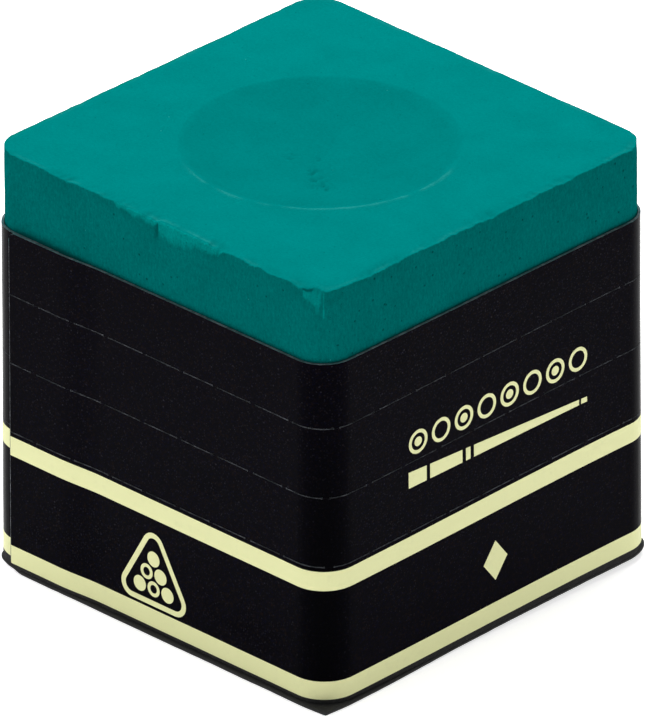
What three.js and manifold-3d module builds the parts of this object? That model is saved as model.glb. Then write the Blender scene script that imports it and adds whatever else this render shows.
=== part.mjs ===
// A cue chalk cube: a pressed block of chalk with a shallow dish for the cue tip, a square label under it,
// and a self-adhesive label wound once round its four sides, with its outer end lapped over its inner end.
// Three perforated lines part the wound label into a printed band, which stays on, and three tear strips,
// which come off one at a time as the chalk wears down. A strip is peeled from its outer end: its tab, the
// stretch across the front face, swings away from the block on the crease at the front right corner.
//
// Millimetres, +Z up, the front face towards -Y. The origin is the centre of the underside.

import * as THREE from "three";
import { mergeVertices } from "three/addons/utils/BufferGeometryUtils.js";
import Module from "manifold-3d";

// The pressed block.
const blockWidth = 22;
const blockHeight = 21.8;
const cornerRadius = 1.6; // the four upright corners
const edgeBreak = 0.15; // the worn break along the top and bottom edges
const dishDiameter = 13.5;
const dishDepth = 0.7;

// The square label under the block.
const baseThickness = 0.18;
const baseLip = 0.04; // how far it stands out past the wound label, even where the label is lapped
const baseCornerRadius = 0.9;

// The label stock wound round the sides.
const labelThickness = 0.12;
const glueLine = 0.02; // between a label and whatever it is stuck to
const lapLength = 3; // how far the inner end runs on under the outer end
const lapRamp = 0.6; // the length over which the outer end climbs onto the inner one
const perforationWidth = 0.06; // the cut between one strip and the next
const creaseGap = 0.02; // between a strip's tab and the rest of it, at the crease

// Heights of the wound label's parts, from the bottom one up.
const bandHeight = 7.25;
const lowerStripHeight = 3.59;
const middleStripHeight = 3.59;
const topStripHeight = 3.37;

// How finely round shapes are cut. A corner's quarter turn gets twice this many flats.
const cornerDivisions = 6;
const dishRings = 8;
const dishSegments = 64;

const half = blockWidth / 2;
const cornerCentre = half - cornerRadius; // where the corner arcs are centred, and the flats end
const quarter = Math.PI / 2;

const chalk = new THREE.MeshStandardMaterial({ color: 0x008b83, roughness: 0.95, metalness: 0 });
const labelBlack = new THREE.MeshStandardMaterial({ color: 0x110f14, roughness: 0.42, metalness: 0 });
const baseBlack = new THREE.MeshStandardMaterial({ color: 0x242526, roughness: 0.6, metalness: 0 });

const wasm = await Module();
wasm.setup();

function solidOf(geometry) {
  const bare = geometry.clone();
  bare.deleteAttribute("normal");
  bare.deleteAttribute("uv");
  const merged = mergeVertices(bare);
  const vertProperties = new Float32Array(merged.attributes.position.array);
  const triVerts = new Uint32Array(merged.index.array);
  return new wasm.Manifold(new wasm.Mesh({ numProp: 3, vertProperties, triVerts }));
}

function geometryOf(solid) {
  const mesh = solid.getMesh();
  const geometry = new THREE.BufferGeometry();
  geometry.setAttribute("position", new THREE.BufferAttribute(mesh.vertProperties, 3));
  geometry.setIndex(new THREE.BufferAttribute(mesh.triVerts, 1));
  geometry.computeVertexNormals();
  return geometry;
}

function named(name, geometry, material, height) {
  const mesh = new THREE.Mesh(geometry, material);
  mesh.name = name;
  mesh.position.z = height;
  return mesh;
}

// A square with rounded corners, centred on the origin.
function roundedSquare(halfWidth, radius) {
  const centre = halfWidth - radius;
  const shape = new THREE.Shape();
  shape.absarc(centre, centre, radius, 0, quarter);
  shape.absarc(-centre, centre, radius, quarter, 2 * quarter);
  shape.absarc(-centre, -centre, radius, 2 * quarter, 3 * quarter);
  shape.absarc(centre, -centre, radius, 3 * quarter, 4 * quarter);
  return shape;
}

// The space that the dish takes out of a block whose top face is at height zero: a spherical cap, carried on
// above the face so that the cut comes out clean.
function dishCutter() {
  const rim = dishDiameter / 2;
  const radius = (rim ** 2 + dishDepth ** 2) / (2 * dishDepth);
  const centreHeight = radius - dishDepth;
  const lip = dishDepth; // how far above the face the cutter ends
  const lastAngle = Math.acos((centreHeight - lip) / radius);
  const profile = [];
  for (let ring = 0; ring <= dishRings; ring += 1) {
    const angle = (lastAngle * ring) / dishRings;
    profile.push(new THREE.Vector2(radius * Math.sin(angle), centreHeight - radius * Math.cos(angle)));
  }
  profile.push(new THREE.Vector2(0, lip));
  return new THREE.LatheGeometry(profile, dishSegments).rotateX(quarter);
}

function chalkBlock() {
  const block = new THREE.ExtrudeGeometry(roundedSquare(half, cornerRadius), {
    depth: blockHeight - 2 * edgeBreak,
    bevelThickness: edgeBreak,
    bevelSize: edgeBreak,
    bevelOffset: -edgeBreak,
    bevelSegments: 2,
    curveSegments: cornerDivisions,
  }).translate(0, 0, edgeBreak);
  const dish = dishCutter().translate(0, 0, blockHeight);
  const solid = solidOf(block).subtract(solidOf(dish));
  return named("chalk_block", geometryOf(solid), chalk, baseThickness + glueLine);
}

function baseLabel() {
  const lappedHalf = half + 2 * (glueLine + labelThickness);
  const shape = roundedSquare(lappedHalf + baseLip, baseCornerRadius);
  const geometry = new THREE.ExtrudeGeometry(shape, {
    depth: baseThickness,
    bevelEnabled: false,
    curveSegments: cornerDivisions,
  });
  return named("base_label", geometry, baseBlack, 0);
}

// Where the outer end of the label stops, on the front face, and where the inner end stops under it.
const seamX = -cornerCentre;
const innerEndX = seamX + lapLength;

// The way that label stock takes round the block at a distance from its sides, seen from above: from the inner
// end on the front face, clockwise round the left, back and right faces, to the crease at the front right corner.
function runPath(distance) {
  const radius = cornerRadius + distance;
  const path = new THREE.Path();
  path.moveTo(innerEndX, -half - distance);
  path.absarc(-cornerCentre, -cornerCentre, radius, 3 * quarter, 2 * quarter, true);
  path.absarc(-cornerCentre, cornerCentre, radius, 2 * quarter, quarter, true);
  path.absarc(cornerCentre, cornerCentre, radius, quarter, 0, true);
  path.absarc(cornerCentre, -cornerCentre, radius, 4 * quarter, 3 * quarter, true);
  return path;
}

// The way on across the front face to the outer end, climbing onto the inner end on the way.
function tabPath(distance) {
  const lapped = distance + labelThickness + glueLine;
  const rampTop = innerEndX + labelThickness;
  const path = new THREE.Path();
  path.moveTo(cornerCentre - creaseGap, -half - distance);
  path.lineTo(rampTop + lapRamp, -half - distance);
  path.lineTo(rampTop, -half - lapped);
  path.lineTo(seamX, -half - lapped);
  return path;
}

// Label stock that follows a way round the block, as a flat outline with the stock's thickness.
function stockOutline(pathAt) {
  const inner = pathAt(glueLine).getPoints(cornerDivisions);
  const outer = pathAt(glueLine + labelThickness).getPoints(cornerDivisions);
  return new THREE.Shape([...inner, ...outer.reverse()]);
}

function stock(name, outline, bottom, height) {
  const geometry = new THREE.ExtrudeGeometry(outline, { depth: height, bevelEnabled: false });
  return named(name, geometry, labelBlack, bottom);
}

// The band that stays on goes all the way round: the run and the stretch across the front are one piece.
function bandPath(distance) {
  const path = runPath(distance);
  const across = tabPath(distance).getPoints().slice(1);
  across.forEach((point) => path.lineTo(point.x, point.y));
  return path;
}

const cube = new THREE.Group();
cube.add(chalkBlock(), baseLabel());

let bottom = baseThickness + glueLine;
cube.add(stock("label_band", stockOutline(bandPath), bottom, bandHeight));
bottom += bandHeight;

const strips = { lower: lowerStripHeight, middle: middleStripHeight, top: topStripHeight };
for (const [place, height] of Object.entries(strips)) {
  bottom += perforationWidth;
  cube.add(stock(`tear_strip_${place}_run`, stockOutline(runPath), bottom, height));
  cube.add(stock(`tear_strip_${place}_tab`, stockOutline(tabPath), bottom, height));
  bottom += height;
}

export default cube;
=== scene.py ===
# A cue chalk cube: a pressed block of chalk with a dish for the cue tip, a printed label wound once round
# its four sides and parted by perforations into a band and three tear strips, and a dark card under it.
# Lengths are millimetres, and a mesh is scaled to metres when it is made. "along" is the way round the
# block's sides, from the left end of the front face's flat, past the front right corner. "out" is the
# distance from the sides.

import math
import random

import bpy
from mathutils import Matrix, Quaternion, Vector, noise


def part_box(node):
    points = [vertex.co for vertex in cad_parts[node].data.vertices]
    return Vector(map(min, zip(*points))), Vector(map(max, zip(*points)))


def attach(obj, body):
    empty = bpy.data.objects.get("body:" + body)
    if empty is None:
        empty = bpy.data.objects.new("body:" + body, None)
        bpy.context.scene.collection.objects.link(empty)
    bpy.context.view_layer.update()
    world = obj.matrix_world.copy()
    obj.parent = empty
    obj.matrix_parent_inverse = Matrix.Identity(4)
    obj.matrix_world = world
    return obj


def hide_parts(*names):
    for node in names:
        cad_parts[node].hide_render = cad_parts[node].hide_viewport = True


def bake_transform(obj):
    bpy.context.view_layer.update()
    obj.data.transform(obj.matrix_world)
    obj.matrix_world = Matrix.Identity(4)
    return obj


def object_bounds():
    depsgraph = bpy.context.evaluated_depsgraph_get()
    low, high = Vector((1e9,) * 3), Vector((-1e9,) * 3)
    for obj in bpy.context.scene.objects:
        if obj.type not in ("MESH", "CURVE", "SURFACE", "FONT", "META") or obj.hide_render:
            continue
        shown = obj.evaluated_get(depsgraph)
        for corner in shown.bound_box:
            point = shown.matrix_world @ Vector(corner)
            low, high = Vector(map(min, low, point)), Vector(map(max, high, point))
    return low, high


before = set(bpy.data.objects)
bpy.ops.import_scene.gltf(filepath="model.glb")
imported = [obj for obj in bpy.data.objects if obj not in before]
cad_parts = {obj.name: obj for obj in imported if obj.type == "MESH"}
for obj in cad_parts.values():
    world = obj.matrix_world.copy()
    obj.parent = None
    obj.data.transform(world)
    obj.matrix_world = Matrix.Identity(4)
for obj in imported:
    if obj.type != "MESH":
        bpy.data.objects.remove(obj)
cad_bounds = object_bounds()

MM = 0.001


def box_of(node):
    low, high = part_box(node)
    return low / MM, high / MM


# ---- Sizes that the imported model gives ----

block_low, block_high = box_of("chalk_block")
card_low, card_high = box_of("base_label")
band_low, band_high = box_of("label_band")
STRIPS = ("lower", "middle", "top")
run_boxes = {strip: box_of(f"tear_strip_{strip}_run") for strip in STRIPS}
tab_low, tab_high = box_of("tear_strip_top_tab")

half = block_high.x
block_top = block_high.z
corner_centre = -tab_low.x  # where the corner arcs are centred, and the flats of the sides end
corner_radius = half - corner_centre
flat_length = 2 * corner_centre
arc_length = corner_radius * math.pi / 2
side_length = flat_length + arc_length
way_round = 4 * side_length

# ---- The label stock ----

glue_line = 0.02
stock = run_boxes["top"][1].x - half - glue_line  # the stock's thickness
lap_length = 3.0  # how far the inner end runs on under the outer end
lap_ramp = 2.8  # the length over which the outer end comes down off the inner one
outer_end = -0.1  # the way along at which the label's outer end stops
inner_end = way_round + lap_length
cut_bevel = 0.012  # the print that a cut edge has lost
end_bevel = 0.035  # and that the loose outer end has lost
stock_ripple = 0.008  # how far it ripples away from the block
foot_stand_off = 0.07  # how much further it is from the block at its foot
label_bottom = band_low.z
label_top = run_boxes["top"][1].z

# The label is wound very slightly askew: its print and its cuts climb along the right face, and come down
# a little again along the back.
drift_start = -0.05
drift_up = 0.37
drift_down = 0.12
drift_down_from = 2.3 * side_length

# ---- The perforations ----

slit = 0.026
slit_flare = 0.024  # how much wider a slit is torn at its ends
flare_length = 0.1
tie_pitch = 2.4
tie_width = 0.3
tie_margin = 0.012  # a tie's edge turns within this length on each side
tie_seed = 7

# ---- The print ----

# The lower stripe's two edges and the upper one's, before the drift.
stripe_edges = (0.46, 1.42, 6.23, 7.24)

# ---- The chalk ----

dish_radius = 6.75
dish_depth = 0.7
bare_from = label_top - 0.35  # the chalk is fully detailed above this height
groove_at = 9.4  # the way along at which a groove runs down from the worn edge
ridge_at = 20.06  # and at which the front right corner is sharpest


def smooth(value):
    """From 0 at a value of 0 to 1 at a value of 1, with soft ends."""
    value = min(max(value, 0.0), 1.0)
    return value * value * (3 - 2 * value)


def bump(distance, width):
    """1 at a distance of 0, falling smoothly to 0 at the width."""
    return 1 - smooth(abs(distance) / width)


def plateau(value, start, end, soft):
    """1 between start and end, falling to 0 over the soft length outside them."""
    return smooth((value - start) / soft + 1) * smooth((end - value) / soft + 1)


def on_way(along, out):
    """The X and Y of a point on the way round the block."""
    side = math.floor(along / side_length)
    rest = along - side * side_length
    if rest < flat_length:
        x, y = rest - corner_centre, -half - out
    else:
        angle = (rest - flat_length) / corner_radius
        reach = corner_radius + out
        x = corner_centre + reach * math.sin(angle)
        y = -corner_centre - reach * math.cos(angle)
    turn = side * math.pi / 2
    return x * math.cos(turn) - y * math.sin(turn), x * math.sin(turn) + y * math.cos(turn)


# ---- Shader maths ----


class Shade:
    """One output of a finish's nodes. Arithmetic on it adds Math nodes."""

    def __init__(self, finish, socket):
        self.finish = finish
        self.socket = socket

    def worked(self, operation, first, second):
        """The result of one Math node."""
        return self.finish.node("ShaderNodeMath", {"operation": operation}, {0: first, 1: second})

    def __add__(self, other):
        return self.worked("ADD", self, other)

    def __sub__(self, other):
        return self.worked("SUBTRACT", self, other)

    def __rsub__(self, other):
        return self.worked("SUBTRACT", other, self)

    def __mul__(self, other):
        return self.worked("MULTIPLY", self, other)

    __radd__ = __add__
    __rmul__ = __mul__

    def step(self, start, end):
        """0 below start, 1 above end, and a soft rise between them."""
        limits = {"Value": self, "From Min": start, "From Max": end}
        return self.finish.node("ShaderNodeMapRange", {"interpolation_type": "SMOOTHSTEP"}, limits)


class Finish:
    """A material whose nodes are written as Python expressions."""

    def __init__(self, name):
        self.material = bpy.data.materials.new(name)
        self.material.use_nodes = True
        self.tree = self.material.node_tree
        self.tree.nodes.clear()

    def node(self, kind, settings=None, inputs=None, output=0):
        """A node with these settings, whose sockets are given values or linked to other shades."""
        made = self.tree.nodes.new(kind)
        for setting, value in (settings or {}).items():
            setattr(made, setting, value)
        for name, value in (inputs or {}).items():
            if isinstance(value, Shade):
                self.tree.links.new(value.socket, made.inputs[name])
            else:
                made.inputs[name].default_value = value
        return Shade(self, made.outputs[output]) if len(made.outputs) else None

    def place(self, stretch=(1, 1, 1)):
        """The place on the piece in millimetres, squeezed or drawn out along each axis."""
        metres = self.node("ShaderNodeTexCoord", output="Object")
        scales = tuple(amount / MM for amount in stretch)
        return self.node("ShaderNodeVectorMath", {"operation": "MULTIPLY"}, {0: metres, 1: scales})

    def cloud(self, place, per_mm, detail=2.0, roughness=0.5):
        """Soft noise about 0.5, with this many features to a millimetre."""
        inputs = {"Vector": place, "Scale": per_mm, "Detail": detail, "Roughness": roughness}
        return self.node("ShaderNodeTexNoise", inputs=inputs)

    def spots(self, place, per_mm, radius, share):
        """Round spots at random places, in only this share of the cells that they could be in."""
        inputs = {"Vector": place, "Scale": per_mm}
        distance = self.node("ShaderNodeTexVoronoi", inputs=inputs)
        cell = self.node("ShaderNodeTexVoronoi", inputs=inputs, output="Color")
        chance = self.node("ShaderNodeSeparateColor", inputs={"Color": cell})
        size = radius * per_mm
        return (1 - distance.step(size * 0.4, size)) * chance.step(1 - share, 1 - share * 0.6)

    def painted(self, name):
        """An amount that the mesh carries at each of its points."""
        return self.node("ShaderNodeAttribute", {"attribute_name": name}, output="Fac")

    def mix(self, first, second, factor):
        inputs = {0: factor, 6: first, 7: second}
        return self.node("ShaderNodeMix", {"data_type": "RGBA"}, inputs, output=2)

    def tint(self, colour, amount):
        return self.node("ShaderNodeVectorMath", {"operation": "SCALE"}, {0: colour[:3], "Scale": amount})

    def relief(self, height, depth):
        """A normal from a height of 0 to 1 that stands for this many millimetres."""
        return self.node("ShaderNodeBump", inputs={"Distance": depth * MM, "Height": height})

    def surface(self, **sockets):
        inputs = {name.replace("_", " "): value for name, value in sockets.items()}
        shader = self.node("ShaderNodeBsdfPrincipled", inputs=inputs)
        self.node("ShaderNodeOutputMaterial", inputs={"Surface": shader})
        return self.material


CHALK = (0.0, 0.168, 0.161, 1)
CHALK_RUBBED = (0.0, 0.27, 0.25, 1)
CHALK_CRUMB_AND_HIGHLIGHT = (0.03, 0.27, 0.255, 1)
CHALK_PIT_SHADE = (0.0, 0.035, 0.036, 1)
PRINT_DARK_REFLECTION = (0.0001, 0.0001, 0.0004, 1)
PRINT_BLACK = (0.0011, 0.0007, 0.0023, 1)
PRINT_BROWN = (0.0065, 0.0034, 0.0030, 1)
PRINT_BLUE = (0.0022, 0.0022, 0.0100, 1)
PRINT_SPECK = (0.042, 0.040, 0.052, 1)
PALE_INK = (0.80, 0.81, 0.435, 1)
PALE_INK_WORN = (0.71, 0.72, 0.39, 1)
PAPER_CORE = (0.15, 0.155, 0.17, 1)
CHALK_DUST = (0.04, 0.145, 0.15, 1)
PAPER_BACK = (0.62, 0.60, 0.54, 1)
DULL_BLACK = (0.021, 0.021, 0.021, 1)
DULL_SPECK = (0.07, 0.07, 0.07, 1)
CARD_GREY = (0.034, 0.034, 0.034, 1)
CARD_FIBRE = (0.07, 0.07, 0.07, 1)
FLOOR_WHITE = (0.8, 0.8, 0.8, 1)
floor_glow = 0.85


def pressed_chalk():
    finish = Finish("pressed_chalk")
    place = finish.place()
    side = finish.painted("side")
    mottle = finish.cloud(place, 0.45, 4.0, 0.6)
    grain = finish.cloud(place, 8.0, 3.0, 0.75)
    drawn = finish.cloud(finish.place((4.0, 4.0, 1.6)), 1.8, 4.0, 0.75)
    jagged = finish.cloud(finish.place((1.0, 1.0, 0.6)), 2.6, 4.0, 0.7)
    large_pits = finish.spots(place, 1.9, 0.085, 0.5)
    small_pits = finish.spots(place, 4.2, 0.045, 0.45)
    pits = (large_pits + small_pits * 0.6) * (0.15 + 0.85 * side)
    specks = finish.spots(place, 1.3, 0.045, 0.15)
    pinholes = finish.spots(place, 1.5, 0.06, 0.8) * (1 - side)
    # The sides' drawn streaks are the chalk's own; the sides being 0.27 darker than the top is painted
    # shade.
    shade = 1 + 0.24 * (mottle - 0.5) + 0.40 * (grain - 0.5) + side * (0.62 * (drawn - 0.5) - 0.27)
    # Painted shade: darker in the dish, and on the chalk just above the label's top edge.
    shade = shade * (1 - 0.09 * finish.painted("dish_shade")) * (1 - 0.08 * finish.painted("shade_by_label"))
    colour = finish.tint(CHALK, shade)
    rubbed = (finish.painted("rubbed") + 0.9 * (jagged - 0.5)).step(0.32, 0.75)
    colour = finish.mix(colour, CHALK_RUBBED, rubbed * (0.60 + 1.1 * (grain - 0.5)))
    # Pale crumbled chalk on the dish's rim and powder by the worn edge; on the rim's near side the pale
    # line is also a painted highlight.
    colour = finish.mix(colour, CHALK_CRUMB_AND_HIGHLIGHT, finish.painted("crumbs_and_rim_highlight") * (0.5 + 2.4 * (grain - 0.5)))
    colour = finish.mix(colour, CHALK_CRUMB_AND_HIGHLIGHT, specks * 0.7)
    # Painted shade: the pits and the pinholes in the top are darker.
    colour = finish.mix(colour, CHALK_PIT_SHADE, pits * 0.62 + pinholes * 0.35)
    # Painted shade: darker in the groove down the front face, in the crevice atop the corner's wedge, and
    # at the dish's broken places.
    colour = finish.mix(colour, CHALK_PIT_SHADE, finish.painted("crack_shade") * 0.8)
    height = grain * 0.5 + side * drawn * 0.4 - pits * 0.8
    normal = finish.relief(height, 0.03)
    return finish.surface(Base_Color=colour, Roughness=1.0, Specular_IOR_Level=0.0, Normal=normal)


def black_print():
    finish = Finish("black_print")
    place = finish.place()
    fibre = finish.cloud(place, 6.0, 3.0, 0.6)
    uneven = finish.cloud(place, 1.1, 3.0, 0.6).step(0.3, 0.75)
    dots = finish.spots(place, 3.4, 0.055, 0.6) * (0.25 + 0.75 * uneven)
    fine_dots = finish.spots(place, 7.5, 0.045, 0.75)
    brown = finish.cloud(place, 5.5, 3.0, 0.8).step(0.5, 0.7)
    blue = finish.cloud(finish.place((1.0, 1.0, 1.3)), 6.2, 3.0, 0.8).step(0.5, 0.7)
    # Along the corners the print is painted darker and without its specks: a painted dark reflection.
    dusty = 1 - 0.85 * finish.painted("handled")
    colour = finish.mix(PRINT_DARK_REFLECTION, PRINT_BLACK, dusty)
    colour = finish.mix(colour, PRINT_BROWN, brown * dusty * 0.8)
    colour = finish.mix(colour, PRINT_BLUE, blue * dusty * 0.7)
    colour = finish.mix(colour, PRINT_SPECK, (dots * 0.5 + fine_dots * 0.2) * dusty)
    normal = finish.relief(fibre, 0.004)
    roughness = 0.2 + 0.12 * (fibre - 0.5) + dots * 0.2
    return finish.surface(Base_Color=colour, Roughness=roughness, IOR=1.061, Normal=normal)


def dull_print():
    """The label's unlacquered margin, below the lower stripe."""
    finish = Finish("dull_margin_print")
    place = finish.place()
    fibre = finish.cloud(place, 7.0, 4.0, 0.75)
    colour = finish.mix(DULL_BLACK, DULL_SPECK, 0.45 * fibre.step(0.45, 0.8))
    normal = finish.relief(fibre, 0.01)
    return finish.surface(Base_Color=colour, Roughness=0.8, IOR=1.15, Normal=normal)


def pale_print():
    finish = Finish("pale_print")
    place = finish.place()
    fibre = finish.cloud(place, 6.0, 3.0, 0.6)
    worn = finish.cloud(place, 1.6, 3.0, 0.7).step(0.5, 0.9)
    colour = finish.mix(PALE_INK, PALE_INK_WORN, worn * 0.6 + 0.3 * (fibre - 0.5))
    normal = finish.relief(fibre, 0.006)
    return finish.surface(Base_Color=colour, Roughness=0.5 + 0.2 * (fibre - 0.5), IOR=1.2, Normal=normal)


def cut_paper():
    finish = Finish("cut_paper_edge")
    place = finish.place()
    fibre = finish.cloud(place, 11.0, 3.0, 0.8)
    patchy = finish.cloud(place, 2.0, 3.0, 0.7).step(0.38, 0.68)
    dust = (0.5 + 0.5 * finish.cloud(place, 1.5, 2.0).step(0.35, 0.7)) * finish.painted("dusty")
    colour = finish.tint(PAPER_CORE, (0.3 + 0.9 * patchy) * (0.4 + 1.2 * fibre))
    colour = finish.mix(colour, CHALK_DUST, dust * 0.7)
    normal = finish.relief(fibre, 0.02)
    return finish.surface(Base_Color=colour, Roughness=0.9, Specular_IOR_Level=0.1, Normal=normal)


def paper_back():
    finish = Finish("gummed_paper_back")
    place = finish.place()
    fibre = finish.cloud(place, 5.0, 4.0, 0.7)
    chalky = finish.cloud(place, 0.8, 3.0, 0.7).step(0.52, 0.8)
    colour = finish.mix(finish.tint(PAPER_BACK, 0.9 + 0.25 * fibre), CHALK_DUST, chalky * 0.6)
    normal = finish.relief(fibre, 0.012)
    return finish.surface(Base_Color=colour, Roughness=0.55 + 0.2 * chalky, Normal=normal)


def dark_card():
    finish = Finish("dark_card")
    place = finish.place()
    fibre = finish.cloud(place, 8.0, 4.0, 0.75)
    scuff = finish.cloud(place, 1.1, 3.0, 0.7).step(0.5, 0.8)
    colour = finish.mix(CARD_GREY, CARD_FIBRE, 0.5 * fibre.step(0.45, 0.8) + 0.3 * scuff)
    normal = finish.relief(fibre, 0.015)
    return finish.surface(Base_Color=colour, Roughness=0.75 + 0.2 * (fibre - 0.5), IOR=1.2, Normal=normal)


def floor_finish():
    """White acrylic, lit a little from below as a light table is."""
    finish = Finish("pale_floor")
    cloud = finish.cloud(finish.place(), 0.02, 3.0)
    colour = finish.tint(FLOOR_WHITE, 0.99 + 0.02 * cloud)
    glow = {"Emission_Color": FLOOR_WHITE, "Emission_Strength": floor_glow}
    return finish.surface(Base_Color=colour, Roughness=0.9, Specular_IOR_Level=0.0, **glow)


# ---- Meshes ----


def piece(name, points, faces, materials, face_materials=None, sharp_angle=35, painted=None):
    """A mesh piece from points in millimetres, with any amounts that its points carry."""
    mesh = bpy.data.meshes.new(name)
    mesh.from_pydata([Vector(point) * MM for point in points], [], faces)
    for material in materials:
        mesh.materials.append(material)
    if face_materials:
        mesh.polygons.foreach_set("material_index", face_materials)
    for amount, values in (painted or {}).items():
        mesh.attributes.new(amount, "FLOAT", "POINT").data.foreach_set("value", values)
    mesh.shade_smooth()
    mesh.set_sharp_from_angle(angle=math.radians(sharp_angle))
    made = bpy.data.objects.new(name, mesh)
    bpy.context.scene.collection.objects.link(made)
    return made


# ---- The chalk block ----

OUTLINE_POINTS = 960
COVERED_LEVELS = 5
SIDE_LEVELS = 34
EDGE_STEPS = 7
TOP_RINGS = 26
DISH_RINGS = 44
rim_highlight_side = math.radians(-45)  # the way from the dish's middle to its pale rim: crumbled chalk and a painted highlight

# Places where the top edge has lost a chip: the way along, half the chip's width, and its depth.
CHIPS = ((2.9, 0.8, 0.06), (15.6, 0.5, 0.08), (16.9, 0.7, 0.10), (22.7, 1.0, 0.07), (24.4, 0.7, 0.07))
CHIPS += ((27.6, 0.9, 0.06), (31.0, 0.7, 0.10), (33.6, 0.6, 0.06), (36.2, 0.8, 0.05))

shift_fade = 0.55  # how far down the side and in across the top the edge's raggedness reaches
least_break = 0.06  # the least radius of the worn edge
least_handled = 0.15  # the far edges' share of the near ones' wear


class EdgeWear:
    """How the block's top edge is worn at one way along: how far it has moved in and down, and the size of
    the arc that it is rounded to, down the side and in across the top."""

    def __init__(self, along):
        x, y = on_way(along, 0)
        front = along if along < way_round / 2 else along - way_round
        handled = least_handled + (1 - least_handled) * plateau(front, 1, 40, 3)
        broad, short, grit = (abs(noise.noise(Vector((x * f, y * f, 3.1 + f)))) for f in (0.7, 2.1, 4.6))
        self.moved_in = handled * (0.05 * broad + 0.05 * short + 0.03 * grit)
        self.moved_down = handled * (0.20 * broad + 0.15 * short + 0.05 * grit) - 0.03
        for centre, width, depth in CHIPS:
            self.moved_down += depth * bump(front - centre, width)
        self.rubbed = rubbed_depth(front)
        bruise = bruise_depth(front)
        self.down = least_break * (1 + handled * short) + 0.30 * self.rubbed + bruise
        self.across = least_break * (1 + handled * broad) + 0.20 * self.rubbed + 0.28 * bruise


def rubbed_depth(along):
    """How far down the front face the edge is rubbed pale: most just right of the groove, then less."""
    fingers = noise.noise(Vector((along * 1.5, 4.0, 0.5)))
    past = along - groove_at
    right = smooth((past - 0.02) / 0.12) * smooth((4.5 - past) / 0.6) * (0.8 - 0.13 * past)
    left = 0.24 * plateau(along, 6.8, 9.3, 0.3)
    return (right + left) * (1 + 0.5 * fingers)


def bruise_depth(along):
    """How far down the front right corner is knocked off: a wedge that ends sharply at its ridge."""
    wedge = min(max((along - ridge_at + 1.46) / 1.15, 0), 1)
    return 0.95 * wedge * smooth((ridge_at + 0.02 - along) / 0.26)


def side_hollow(along, height):
    """How far the side has lost chalk at a point: shallow drawn marks, and the groove."""
    x, y = on_way(along, 0)
    drawn = noise.noise(Vector((x * 1.6, y * 1.6, height * 0.25))) + 1
    grain = noise.noise(Vector((x * 4.5, y * 4.5, height * 1.4))) + 1
    below = block_top - height
    groove = bump(along - groove_at, 0.2) * plateau(below, 0.25, 0.8, 0.25)
    ridge = bump(along - ridge_at, 0.16) * plateau(below, 0.0, 1.5, 0.3)
    return 0.010 * drawn + 0.010 * grain + 0.09 * groove - 0.02 * ridge


def top_relief(x, y):
    """How far the pressed top is from level at a point."""
    broad = noise.noise(Vector((x * 0.35, y * 0.35, 5.0)))
    short = noise.noise(Vector((x * 1.7, y * 1.7, 9.0)))
    grain = noise.noise(Vector((x * 4.2, y * 4.2, 2.0)))
    return 0.015 * broad + 0.006 * short + 0.004 * grain - 0.02


# Places where a cue tip has broken the dish's surface: X, Y and the size of the place.
DISH_MARKS = ((1.8, -2.0, 0.8), (2.6, -2.5, 0.8), (1.0, -1.5, 0.6), (0.1, -0.3, 0.4), (-0.9, -1.1, 0.45))


def dish_relief(x, y):
    """The dish: a shallow bowl with a soft rim and a few crumbled places."""
    radius = math.hypot(x, y)
    wobble = 0.05 * noise.noise(Vector((x * 0.5, y * 0.5, 12.0)))
    share = radius / (dish_radius + wobble)
    bowl = -dish_depth * (1 - share * share) if share < 1 else 0.0
    ridge = 0.02 * bump(radius - dish_radius, 0.3)
    return bowl + ridge - 0.12 * dish_marks(x, y)


def dish_marks(x, y):
    """How much the dish's surface is broken at a point, from 0 to about 1."""
    broken = max(bump(math.hypot(x - at_x, y - at_y), size) for at_x, at_y, size in DISH_MARKS)
    return broken * smooth(0.4 + 1.6 * noise.noise(Vector((x * 4.4, y * 4.4, 1.0))))


class BlockRings:
    """The block's mesh as a stack of rings, from its underside over its edge to the middle of the dish."""

    def __init__(self):
        self.points = []
        self.amounts = {"side": [], "rubbed": [], "crumbs_and_rim_highlight": [], "dish_shade": [], "crack_shade": [], "shade_by_label": []}
        self.rings = []
        self.faces = []

    def add(self, ring):
        start = len(self.points)
        for point, amounts in ring:
            self.points.append(point)
            for name in self.amounts:
                self.amounts[name].append(amounts.get(name, 0.0))
        self.rings.append(range(start, len(self.points)))
        if len(self.rings) > 1:
            self.join(self.rings[-2], self.rings[-1])

    def join(self, lower, upper):
        """Faces between two rings, the upper with as many points as the lower or half as many."""
        many = len(lower)
        if len(upper) == many:
            for i in range(many):
                after = (i + 1) % many
                self.faces.append((lower[i], lower[after], upper[after], upper[i]))
            return
        for j in range(len(upper)):
            after = (j + 1) % len(upper)
            first, second, third = lower[2 * j], lower[2 * j + 1], lower[(2 * j + 2) % many]
            self.faces.append((first, second, upper[j]))
            self.faces.append((second, third, upper[after], upper[j]))

    def close(self, ring, centre, amounts, downwards):
        """A fan from a ring to a middle point."""
        self.points.append(centre)
        for name, values in self.amounts.items():
            values.append(amounts.get(name, 0.0))
        middle = len(self.points) - 1
        for i in range(len(ring)):
            pair = (ring[i], ring[(i + 1) % len(ring)])
            self.faces.append((*reversed(pair), middle) if downwards else (*pair, middle))


def covered_ring(ways, height):
    """A ring on the sides behind the label. The lowest one follows the bend of the card."""
    ring = []
    for along in ways:
        lifted = card_bend(along) if height == block_low.z else 0
        ring.append(((*on_way(along, 0), height + lifted), {"side": 1.0, "shade_by_label": 1.0}))
    return ring


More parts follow.
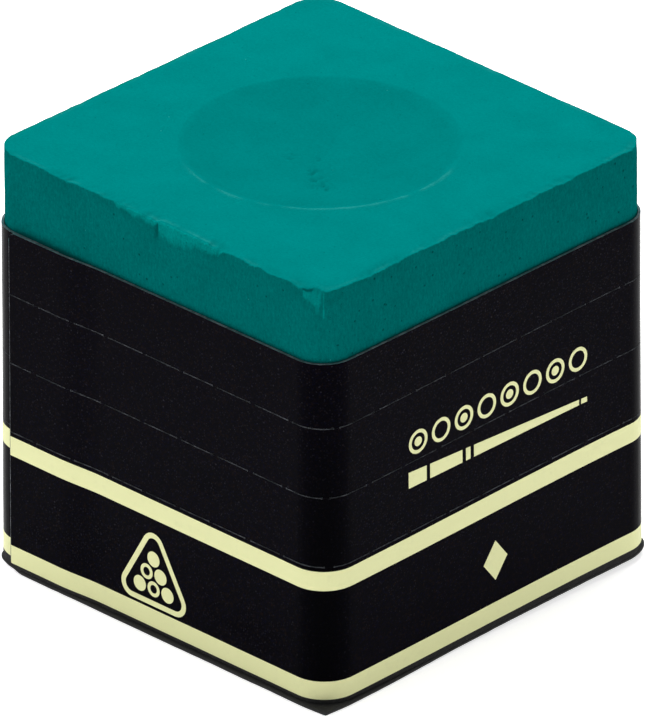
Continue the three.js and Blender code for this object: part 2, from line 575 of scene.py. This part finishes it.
def side_ring(ways, wears, share):
    """A ring on the bare chalk of the sides, at a share of the way up it."""
    ring = []
    for along, wear in zip(ways, wears):
        edge = block_top - wear.moved_down - wear.down
        height = bare_from + share * (edge - bare_from)
        lost = side_hollow(along, height) * smooth(share * 8)
        lost += wear.moved_in * smooth(1 - (edge - height) / shift_fade)
        # Painted shade: the chalk is darker within about 0.16 mm above the label's top edge.
        shade_by_label = smooth(1 - (height - label_edge_top(along)) / 0.16)
        amounts = {"side": 1.0, "rubbed": rubbed_share(along, height, wear), "shade_by_label": shade_by_label}
        # Painted shade in the groove down the front face, which is also cut into the chalk.
        in_groove = bump(along - groove_at, 0.16) * plateau(block_top - height, 0.25, 0.8, 0.2)
        amounts["crack_shade"] = 0.55 * in_groove
        ring.append(((*on_way(along, -lost), height), amounts))
    return ring


def rubbed_share(along, height, wear):
    """How pale the chalk is rubbed at a point on the sides: 0.5 on the nominal lower boundary."""
    below = block_top - wear.moved_down - height
    ridge = bump(along - ridge_at, 0.14) * plateau(below, 0.0, 1.3, 0.4)
    edge_line = 1 - below / 0.18
    rubbed = 1 - below / (2 * wear.rubbed) if wear.rubbed > 0.05 else 0
    bruise = 0.9 - below / (2.2 * wear.down) if wear.down > 0.4 else 0
    return max(rubbed, bruise, 0.45 * edge_line, 0.66 * ridge, 0)


def edge_ring(ways, wears, share):
    """A ring on the worn top edge, from the side at a share of 0 to the top at 1."""
    ring = []
    angle = share * math.pi / 2
    for along, wear in zip(ways, wears):
        edge = block_top - wear.moved_down
        lost = side_hollow(along, edge - wear.down) * (1 - share)
        inset = lost + wear.moved_in + wear.across * (1 - math.cos(angle))
        x, y = on_way(along, -inset)
        height = edge - wear.down * (1 - math.sin(angle))
        # Painted shade in the crevice above the front right corner's wedge, which is also cut 0.06 down.
        crack_shade = plateau(along, 18.95, 19.45, 0.15) * bump(share - 0.75, 0.3)
        rubbed = rubbed_share(along, height, wear) * (1 - share**3)
        amounts = {"side": 1 - share, "rubbed": rubbed, "crack_shade": crack_shade}
        ring.append(((x, y, height + top_relief(x, y) * share - 0.06 * crack_shade), amounts))
    return ring


def rim_crumbs_and_highlight(x, y):
    """Pale crumbled chalk on the dish's rim, with a painted highlight, on the side towards the camera."""
    radius = math.hypot(x, y)
    towards = math.cos(math.atan2(y, x) - rim_highlight_side)
    broken = smooth(0.55 + 1.3 * noise.noise(Vector((x * 0.9, y * 0.9, 6.0))))
    width = 0.17 + 0.12 * noise.noise(Vector((x * 1.9, y * 1.9, 2.0)))
    return 0.75 * bump(radius - dish_radius, width) * smooth((towards - 0.2) / 0.5) * broken


def edge_powder(x, y, distance):
    """The pale powder on the top, at this distance from the worn edge."""
    patchy = smooth(0.35 + 1.5 * noise.noise(Vector((x * 0.8, y * 0.8, 7.0))))
    return 0.5 * bump(distance, 0.3) * patchy


def top_ring(ways, wears, share):
    """A ring on the flat of the top, from the worn edge at a share of 0 to the dish's rim at 1."""
    ring = []
    for along, wear in zip(ways, wears):
        edge = Vector(on_way(along, -wear.across - wear.moved_in))
        rim = edge.normalized() * dish_radius
        x, y = edge.lerp(rim, share)
        distance = share * (edge - rim).length
        fade = smooth(1 - distance / shift_fade)
        height = block_top - wear.moved_down * fade + top_relief(x, y) + dish_relief(x, y)
        crumbs_and_rim_highlight = max(rim_crumbs_and_highlight(x, y), edge_powder(x, y, distance))
        ring.append(((x, y, height), {"crumbs_and_rim_highlight": crumbs_and_rim_highlight}))
    return ring


def dish_ring(ways, share):
    """A ring in the dish, from its rim at a share of 0 towards its middle at 1."""
    ring = []
    radius = dish_radius * (1 - share**1.4)
    for along in ways:
        x, y = Vector(on_way(along, 0)).normalized() * radius
        height = block_top + top_relief(x, y) + dish_relief(x, y)
        # Painted shade: the dish is darker from just inside its rim to its middle.
        dish_shade = smooth((dish_radius - radius) / 0.5)
        # The broken places in the dish get painted shade too.
        amounts = {"dish_shade": dish_shade, "crumbs_and_rim_highlight": rim_crumbs_and_highlight(x, y), "crack_shade": 0.35 * dish_marks(x, y)}
        ring.append(((x, y, height), amounts))
    return ring


def finer_at_ends(share):
    """The same range, 0 to 1, stepped more finely at both of its ends."""
    return 0.5 * share + 0.5 * smooth(share)


def add_dish(block, ways):
    """The dish's rings, with half as many points in each at three places on the way in."""
    for ring in range(1, DISH_RINGS):
        if ring in (DISH_RINGS // 2, DISH_RINGS * 3 // 4, DISH_RINGS * 7 // 8):
            ways = ways[::2]
        block.add(dish_ring(ways, ring / DISH_RINGS))
    middle = block_top + top_relief(0, 0) + dish_relief(0, 0)
    block.close(block.rings[-1], (0, 0, middle), {"dish_shade": 1.0}, downwards=False)


def pressed_block(chalk):
    ways = [i * way_round / OUTLINE_POINTS for i in range(OUTLINE_POINTS)]
    wears = [EdgeWear(along) for along in ways]
    block = BlockRings()
    for level in range(COVERED_LEVELS + 1):
        block.add(covered_ring(ways, block_low.z + (bare_from - block_low.z) * level / COVERED_LEVELS))
    for level in range(1, SIDE_LEVELS + 1):
        block.add(side_ring(ways, wears, (level / SIDE_LEVELS) ** 0.8))
    for step in range(1, EDGE_STEPS + 1):
        block.add(edge_ring(ways, wears, step / EDGE_STEPS))
    for ring in range(1, TOP_RINGS + 1):
        block.add(top_ring(ways, wears, finer_at_ends(ring / TOP_RINGS)))
    add_dish(block, ways)
    block.close(block.rings[0], (0, 0, block_low.z), {}, downwards=True)
    made = piece("pressed_block", block.points, block.faces, [chalk], painted=block.amounts, sharp_angle=60)
    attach(made, "cube")
    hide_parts("chalk_block")


# ---- The wound label ----

BLACK, PALE, CUT, BACK, DULL = range(5)  # the places of LABEL_INKS, the label's materials
TOP_CORNER = 0.4  # the radius of the outer end's top corner
BOTTOM_CORNER = 0.35
CORNER_STEPS = 14
TOP_CORNER_STEPS = 6


def drift(along):
    """How far the print and the perforations stand above their design height."""
    right = smooth((along - flat_length) / side_length)
    behind = smooth((along - drift_down_from) / side_length)
    return drift_start + drift_up * right - drift_down * behind


def stand_off(along, height):
    """How far the label's inner face is from the block: it climbs onto its own inner end, ripples a little,
    and stands off a little more towards its foot."""
    climb = smooth((lap_length + 0.1 + lap_ramp - along) / lap_ramp)
    rippled = stock_ripple * (1 + noise.noise(Vector((along * 0.45, height * 0.3, 4.0))))
    return glue_line + (glue_line + stock) * climb + rippled + foot_stand_off * smooth(1 - height / 15)


def rounding(along, corner):
    """How far the label's edge is drawn back by the rounded corner of its outer end."""
    from_end = min(along - outer_end, corner)
    return corner - math.sqrt(corner**2 - (corner - from_end) ** 2)


def label_edge_top(along):
    """The label's top edge: a little low near the seam, a little high on the right and back faces."""
    askew = 0.12 * math.exp(-max(along, 0) / 12) + 0.17 * smooth((along - 50) / 30)
    climb = 0.1 * smooth((along - 24) / 16) * smooth((60 - along) / 16)
    return label_top - 0.02 - askew - rounding(along, TOP_CORNER) + climb


def label_edge_bottom(along):
    """The label's bottom edge, which follows the bend of the card."""
    return label_bottom + 0.01 + rounding(along, BOTTOM_CORNER) + card_bend(along)


class Perforation:
    """A row of slits with ties left between them, at a design height."""

    def __init__(self, height, seed):
        self.height = height
        chance = random.Random(seed)
        self.ties = []
        start = outer_end + chance.uniform(1.2, 2.2)
        while start < inner_end:
            width = tie_width * chance.uniform(0.8, 1.25)
            self.ties.append((start, start + width))
            start += tie_pitch * chance.uniform(0.92, 1.08)

    def columns(self):
        """The ways along at which its edges turn."""
        turns = []
        for start, end in self.ties:
            turns += [start - flare_length, start - tie_margin, start + tie_margin]
            turns += [end - tie_margin, end + tie_margin, end + flare_length]
        return turns

    def gap(self, along):
        """Half the width of the slit, or 0 in a tie."""
        for start, end in self.ties:
            if start < along < end:
                return 0.0
            near = min(abs(along - start), abs(along - end))
            if near < flare_length:
                return slit / 2 + slit_flare * (1 - near / flare_length)
        return slit / 2 * (1 + 0.6 * noise.noise(Vector((along * 1.3, self.height, 3.0))))

    def tied(self, along):
        return any(start < along < end for start, end in self.ties)

    def line(self, along):
        return self.height + drift(along)

    def upper_edge(self, along):
        """The bottom edge of the strip above: its ties reach the strip below."""
        gap = self.gap(along)
        return self.line(along) + gap if gap else self.line(along) - slit / 2 + 0.004

    def lower_edge(self, along):
        """The top edge of the strip below."""
        return self.line(along) - max(self.gap(along), slit / 2)


def columns_between(start, end, turns, spacing=0.3):
    """Ways along, evenly spaced on the flats, closer on the corners, with the turns of the edges added."""
    columns = [start, end, *turns]
    steps = math.ceil((end - start) / spacing)
    columns += [start + (end - start) * step / steps for step in range(1, steps)]
    for corner in range(-1, 5):
        arc_start = corner * side_length + flat_length
        columns += [arc_start + arc_length * step / CORNER_STEPS for step in range(CORNER_STEPS + 1)]
    if start == outer_end:
        columns.append(start + end_bevel)
        columns += [start + TOP_CORNER * step / TOP_CORNER_STEPS for step in range(1, TOP_CORNER_STEPS + 1)]
    kept = sorted(column for column in columns if start <= column <= end)
    return [column for i, column in enumerate(kept) if i == 0 or column - kept[i - 1] > 0.004]


def corner_reflection(along, height):
    """The share of painted dark reflection on the print: most along the corners, and less near the top."""
    past_corner = (along - flat_length - arc_length / 2 + side_length / 2) % side_length - side_length / 2
    return bump(past_corner, 2.2) * smooth(1 - (height - 8) / 12)


class Sheet:
    """Label stock of real thickness, between a strip's rows of points. Where its edges are cut they are
    bevelled, and show the paper's core."""

    def __init__(self, columns, strip, dusty_top):
        self.columns, self.strip, self.dusty_top = columns, strip, dusty_top
        self.row_count = len(strip.inks) + 1
        self.last_row = self.row_count - 1
        self.last_column = len(columns) - 1
        self.loose_end = columns[0] == outer_end
        self.points, self.faces, self.inks = [], [], []
        self.amounts = {"dusty": [], "handled": []}
        self.add_points(stock)
        self.add_points(0.0)
        self.add_columns()
        self.add_ends()

    def add_points(self, face_out):
        """The points of the outer face, which is the stock's thickness out, or of the inner one."""
        for place, along in enumerate(self.columns):
            cut_below, cut_above = self.strip.cut_below(along), self.strip.cut_above(along)
            for row, height in enumerate(self.strip.rows(along)):
                at_edge = (row == 0 and cut_below) or (row == self.last_row and cut_above)
                at_cut = at_edge or (self.loose_end and place == 0)
                out = stand_off(along, height) + face_out
                out -= cut_bevel if at_cut and face_out else 0
                self.points.append((*on_way(along, out), height))
                dusty = self.dusty_top and row >= self.last_row - 1
                self.amounts["dusty"].append(1.0 if dusty else 0.1)
                # The print's painted dark reflection along the corners, carried as handled.
                self.amounts["handled"].append(corner_reflection(along, height))

    def outer(self, column, row):
        return column * self.row_count + row

    def inner(self, column, row):
        return self.outer(column, row) + self.row_count * len(self.columns)

    def face(self, ink, *corners):
        self.faces.append(corners)
        self.inks.append(ink)

    def add_columns(self):
        """The faces between each column of points and the next, and along the top and bottom edges."""
        outer, inner, top = self.outer, self.inner, self.last_row
        for c in range(self.last_column):
            after = c + 1
            middle = (self.columns[c] + self.columns[after]) / 2
            cut_below, cut_above = self.strip.cut_below(middle), self.strip.cut_above(middle)
            for r in range(top):
                cut = (r == 0 and cut_below) or (r == top - 1 and cut_above)
                ink = CUT if cut or (self.loose_end and c == 0) else self.strip.inks[r]
                self.face(ink, outer(c, r), outer(after, r), outer(after, r + 1), outer(c, r + 1))
                self.face(BACK, inner(c, r), inner(c, r + 1), inner(after, r + 1), inner(after, r))
            self.face(CUT, outer(c, 0), inner(c, 0), inner(after, 0), outer(after, 0))
            self.face(CUT, outer(c, top), outer(after, top), inner(after, top), inner(c, top))

    def add_ends(self):
        outer, inner, last = self.outer, self.inner, self.last_column
        for r in range(self.last_row):
            self.face(CUT, outer(0, r), outer(0, r + 1), inner(0, r + 1), inner(0, r))
            self.face(CUT, outer(last, r), inner(last, r), inner(last, r + 1), outer(last, r + 1))


def sheet(name, columns, strip, dusty_top=False):
    cut = Sheet(columns, strip, dusty_top)
    made = piece(name, cut.points, cut.faces, LABEL_INKS, cut.inks, painted=cut.amounts, sharp_angle=25)
    return made


class TearStrip:
    """A tear strip between one perforation and the next, or the label's top edge."""

    inks = [BLACK] * 8

    def __init__(self, below, above=None):
        self.below, self.above = below, above

    def rows(self, along):
        low = self.below.upper_edge(along)
        high = self.above.lower_edge(along) if self.above else label_edge_top(along)
        inside = [low + cut_bevel + (high - low - 2 * cut_bevel) * step / 6 for step in range(7)]
        return [low, *inside, high]

    def cut_below(self, along):
        return not self.below.tied(along)

    def cut_above(self, along):
        return not (self.above and self.above.tied(along))


class PrintedBand:
    """The band that stays on: its stripes' edges lie on rows of points."""

    inks = [DULL, DULL, PALE] + [BLACK] * 8 + [PALE, BLACK, BLACK]

    def __init__(self, above):
        self.above = above

    def rows(self, along):
        low, high = label_edge_bottom(along), self.above.lower_edge(along)
        stripes = [edge + drift(along) for edge in stripe_edges]
        plain = [stripes[1] + (stripes[2] - stripes[1]) * step / 8 for step in range(1, 8)]
        lowest = max(stripes[0], low + 2 * cut_bevel)
        return [low, low + cut_bevel, lowest, stripes[1], *plain, *stripes[2:], high - cut_bevel, high]

    def cut_below(self, along):
        return True

    def cut_above(self, along):
        return not self.above.tied(along)


def wound_label(perforations):
    """The band all the way round, and each tear strip as a tab across the front and a run beyond it."""
    turns = perforations[0].columns()
    columns = columns_between(outer_end, inner_end, turns)
    band = sheet("wound_band", columns, PrintedBand(perforations[0]))
    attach(band, "cube")
    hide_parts("label_band")
    crease = flat_length
    for place, name in enumerate(STRIPS):
        is_top = name == "top"
        above = None if is_top else perforations[place + 1]
        strip = TearStrip(perforations[place], above)
        turns = perforations[place].columns() + (above.columns() if above else [])
        run = sheet(f"{name}_strip_run", columns_between(crease, inner_end, turns), strip, is_top)
        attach(run, "cube")
        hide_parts(f"tear_strip_{name}_run")
        tab = sheet(f"{name}_strip_tab", columns_between(outer_end, crease, turns, 0.2), strip, is_top)
        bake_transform(tab)
        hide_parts(f"tear_strip_{name}_tab")


# ---- Generic marks in pale ink, on the front and right faces ----

ink_height = 0.008
CIRCLE_POINTS = 40
right_face = side_length + corner_centre  # the way along at the middle of the right face
front_face = corner_centre  # and at the middle of the front face


class Mark:
    """Thin closed slabs of ink on the label, each within an outer loop of points and round an optional
    inner one."""

    def __init__(self, name, middle, ink):
        self.name, self.middle, self.ink = name, middle, ink
        self.points, self.faces = [], []

    def layer(self, loop, out):
        start = len(self.points)
        for across, height in loop:
            along = self.middle + across
            surface = stand_off(along, height) + stock
            self.points.append((*on_way(along, surface + out), height + drift(along)))
        return list(range(start, start + len(loop)))

    def wall(self, low, high):
        """Faces from one layer of a loop to the other, facing away from the loop's inside."""
        many = len(low)
        for i in range(many):
            after = (i + 1) % many
            self.faces.append((low[i], low[after], high[after], high[i]))

    def slab(self, outer, inner=None):
        """outer and inner run anticlockwise as the face is seen, with as many points as each other."""
        low, high = self.layer(outer, -ink_height), self.layer(outer, ink_height)
        self.wall(low, high)
        if inner is None:
            self.faces += [tuple(high), tuple(reversed(low))]
            return
        inner_low, inner_high = self.layer(inner, -ink_height), self.layer(inner, ink_height)
        self.wall(list(reversed(inner_low)), list(reversed(inner_high)))
        self.wall(high, inner_high)
        self.wall(inner_low, low)

    def lay(self):
        """The slabs as one piece, which rides on the cube."""
        laid = piece(self.name, self.points, self.faces, [self.ink], sharp_angle=30)
        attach(laid, "cube")


def circle(x, z, radius):
    turns = [2 * math.pi * i / CIRCLE_POINTS for i in range(CIRCLE_POINTS)]
    return [(x + radius * math.cos(turn), z + radius * math.sin(turn)) for turn in turns]


def rounded_triangle(z, size, radius, steps=8):
    """A triangle on its base, with rounded corners whose centres are at this size from its middle."""
    loop = []
    for corner in (-30, 90, 210):
        centre = math.radians(corner)
        middle = (size * math.cos(centre), z + size * math.sin(centre))
        for step in range(steps + 1):
            turn = centre + math.radians(120 * step / steps - 60)
            loop.append((middle[0] + radius * math.cos(turn), middle[1] + radius * math.sin(turn)))
    return loop


def rack_emblem(ink):
    """A racked triangle of balls on the band."""
    mark = Mark("rack_emblem", front_face - 0.1, ink)
    middle, size = 3.12, 1.66
    outer_radius, inner_radius = 0.7, 0.42
    mark.slab(rounded_triangle(middle, size, outer_radius), rounded_triangle(middle, size, inner_radius))
    ball, pitch, lowest = 0.40, 0.92, 0.62
    for row in range(3):
        for place in range(3 - row):
            x = (place - (2 - row) / 2) * pitch
            z = middle - lowest + row * pitch * math.sqrt(3) / 2
            if (row + place) % 2:
                mark.slab(circle(x, z, ball), circle(x, z, ball * 0.55))
            else:
                mark.slab(circle(x, z, ball))
    mark.lay()


def ball_row(ink):
    """A row of balls on the middle strip, every other one with a spot."""
    mark = Mark("ball_row", right_face, ink)
    count, first, last, z = 8, -4.9, 5.85, 12.06
    ball, inside, spot = 0.62, 0.44, 0.24
    for i in range(count):
        x = first + (last - first) * i / (count - 1)
        mark.slab(circle(x, z, ball), circle(x, z, inside))
        if i % 2 == 0:
            mark.slab(circle(x, z, spot))
    mark.lay()


def bar(mark, start, end, half_start, half_end, z_start, z_end):
    """A length of the cue, with half its thickness and its middle height at each end."""
    mark.slab([
        (start, z_start - half_start),
        (end, z_end - half_end),
        (end, z_end + half_end),
        (start, z_start + half_start),
    ])


def cue_bar(ink):
    """A cue on the lower strip: butt, wrap, shaft and tip, with a fine gap between each two."""
    mark = Mark("cue_bar", right_face, ink)
    length, first = 12.0, -5.55
    butt, tip, z_butt, z_tip = 0.42, 0.13, 10.22, 9.72
    joints = (0.0, 0.10, 0.12, 0.30, 0.32, 0.345, 0.365, 0.955, 0.967, 1.0)
    for start, end in zip(joints[::2], joints[1::2]):
        halves = [butt + (tip - butt) * share for share in (start, end)]
        heights = [z_butt + (z_tip - z_butt) * share for share in (start, end)]
        bar(mark, first + length * start, first + length * end, *halves, *heights)
    mark.lay()


def rail_sight(ink):
    """The diamond of a table's rail, on the band."""
    mark = Mark("rail_sight", right_face + 0.22, ink)
    z, half_wide, half_tall = 3.65, 0.8, 1.05
    mark.slab([(half_wide, z), (0, z + half_tall), (-half_wide, z), (0, z - half_tall)])
    mark.lay()


# ---- The card under the block ----

CARD_POINTS = 960
far_right_corner = 41.4  # the way along at the middle of that corner
bent_width = 1.2  # how far in from the rim the card is bent


def card_lip(along):
    """How far the card stands out past the wound label: most of all under the front face."""
    x, y = on_way(along, 0)
    before = along - way_round if along > way_round / 2 else along  # below zero on the left face
    lip = 0.07 + 0.02 * noise.noise(Vector((x * 0.4, y * 0.4, 15.0)))
    lip += 0.012 * noise.noise(Vector((x * 1.8, y * 1.8, 7.0)))
    lip += 0.2 * smooth((before + 0.2) / 0.9) * smooth((29 - before) / 8)
    lip += 0.1 * bump(before + 1.3, 0.7)
    return lip + 0.14 * bump(along - far_right_corner, 1.3) + card_point(along)


def card_bend(along):
    """How far the card's lip is bent up along the right face and most of all at the far right corner."""
    along_face = smooth((along - 22) / 17) * smooth((46 - along) / 3)
    return 0.26 * along_face + 0.14 * bump(along - far_right_corner, 1.2)


def card_point(along):
    """What the card's sharp front right corner has that the label's round one hasn't."""
    angle = min(max((along - flat_length) / corner_radius, 0), math.pi / 2)
    reach = corner_radius + glue_line + stock
    return 0.93 * reach * (1 / max(math.cos(angle), math.sin(angle)) - 1)


def under_card(card):
    """A thin square card whose rim is a little uneven, made as rings on its underside, rim and top."""
    points, faces = [], []
    thickness = card_high.z - card_low.z
    reach = half + glue_line + stock
    inner_insets = (11.0, 6.0, bent_width, 0.45, 0.2, 0.05)
    profile = [(inset, 0.0) for inset in inner_insets] + [(0.0, 0.25), (0.0, 0.75)]
    profile += [(inset, 1.0) for inset in reversed(inner_insets)]
    for inset, share in profile:
        for i in range(CARD_POINTS):
            along = i * way_round / CARD_POINTS
            lip = card_lip(along)
            near_rim = inset < 0.5
            x, y = on_way(along, reach - half + lip - (inset if near_rim else 0))
            scale = 1 if near_rim else 1 - inset / reach
            lifted = card_bend(along) * smooth(1 - inset / bent_width)
            points.append((x * scale, y * scale, card_low.z + thickness * share + lifted))
    rings = len(profile)
    for ring in range(rings - 1):
        for i in range(CARD_POINTS):
            after = (i + 1) % CARD_POINTS
            low, high = ring * CARD_POINTS, (ring + 1) * CARD_POINTS
            faces.append((low + i, low + after, high + after, high + i))
    last = (rings - 1) * CARD_POINTS
    faces.append(tuple(reversed(range(CARD_POINTS))))
    faces.append(tuple(range(last, last + CARD_POINTS)))
    made = piece("under_card", points, faces, [card], sharp_angle=40)
    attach(made, "cube")
    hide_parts("base_label")


# ---- The studio ----

camera_azimuth, camera_elevation, camera_roll = 44.631, 27.891, -0.258
camera_distance = 1276.3
camera_lens, camera_sensor = 1360.86, 36.0
aim_height, aim_right = 10.532, 0.042  # the point that the camera is turned to
world_glow = 0.25


def facing(azimuth, elevation):
    """The direction from the object towards these angles: azimuth 0 is in front, and 90 on the right."""
    a, e = math.radians(azimuth), math.radians(elevation)
    return Vector((math.sin(a) * math.cos(e), -math.cos(a) * math.cos(e), math.sin(e)))


def make_camera():
    data = bpy.data.cameras.new("camera")
    data.lens = camera_lens
    data.sensor_width = camera_sensor
    camera = bpy.data.objects.new("camera", data)
    bpy.context.scene.collection.objects.link(camera)
    back = facing(camera_azimuth, camera_elevation)
    right = Vector((0, 0, 1)).cross(back).normalized()
    centre = Vector((0, 0, block_top / 2))
    aim = Vector((0, 0, aim_height)) + right * aim_right
    place = centre + back * camera_distance
    camera.location = place * MM
    camera.rotation_mode = "QUATERNION"
    turn = (place - aim).to_track_quat("Z", "Y")
    turn.rotate(Quaternion(place - aim, math.radians(camera_roll)))
    camera.rotation_quaternion = turn
    bpy.context.scene.camera = camera


def softbox(name, direction, distance, size, watts):
    """A round soft light, turned to the object from a distance in metres."""
    data = bpy.data.lights.new(name, "AREA")
    data.shape = "DISK"
    data.size = size
    data.energy = watts
    light = bpy.data.objects.new(name, data)
    bpy.context.scene.collection.objects.link(light)
    light.location = direction * distance
    light.rotation_mode = "QUATERNION"
    light.rotation_quaternion = direction.to_track_quat("Z", "Y")


def make_lights():
    behind = camera_azimuth + 180
    softbox("top_softbox", facing(behind, 70), distance=0.34, size=0.28, watts=1.56)
    softbox("left_softbox", facing(-25, 30), distance=0.6, size=0.3, watts=0.42)
    world = bpy.data.worlds.new("studio")
    world.use_nodes = True
    background = world.node_tree.nodes["Background"]
    background.inputs["Color"].default_value = (1, 1, 1, 1)
    background.inputs["Strength"].default_value = world_glow
    bpy.context.scene.world = world
    bpy.context.scene.view_settings.view_transform = "Standard"


def make_floor():
    mesh = bpy.data.meshes.new("floor")
    reach, level = 3.0, cad_bounds[0].z
    corners = [(-reach, -reach), (reach, -reach), (reach, reach), (-reach, reach)]
    mesh.from_pydata([(x, y, level) for x, y in corners], [], [(0, 1, 2, 3)])
    mesh.materials.append(floor_finish())
    floor = bpy.data.objects.new("floor", mesh)
    bpy.context.scene.collection.objects.link(floor)


LABEL_INKS = [black_print(), pale_print(), cut_paper(), paper_back(), dull_print()]
pale_ink = LABEL_INKS[PALE]

make_camera()
pressed_block(pressed_chalk())
lower_highs = (band_high.z, run_boxes["lower"][1].z, run_boxes["middle"][1].z)
upper_lows = [run_boxes[strip][0].z for strip in STRIPS]
heights = [(low + high) / 2 for low, high in zip(lower_highs, upper_lows)]
wound_label([Perforation(height, tie_seed + place) for place, height in enumerate(heights)])
rack_emblem(pale_ink)
ball_row(pale_ink)
cue_bar(pale_ink)
rail_sight(pale_ink)
under_card(dark_card())
make_lights()
make_floor()
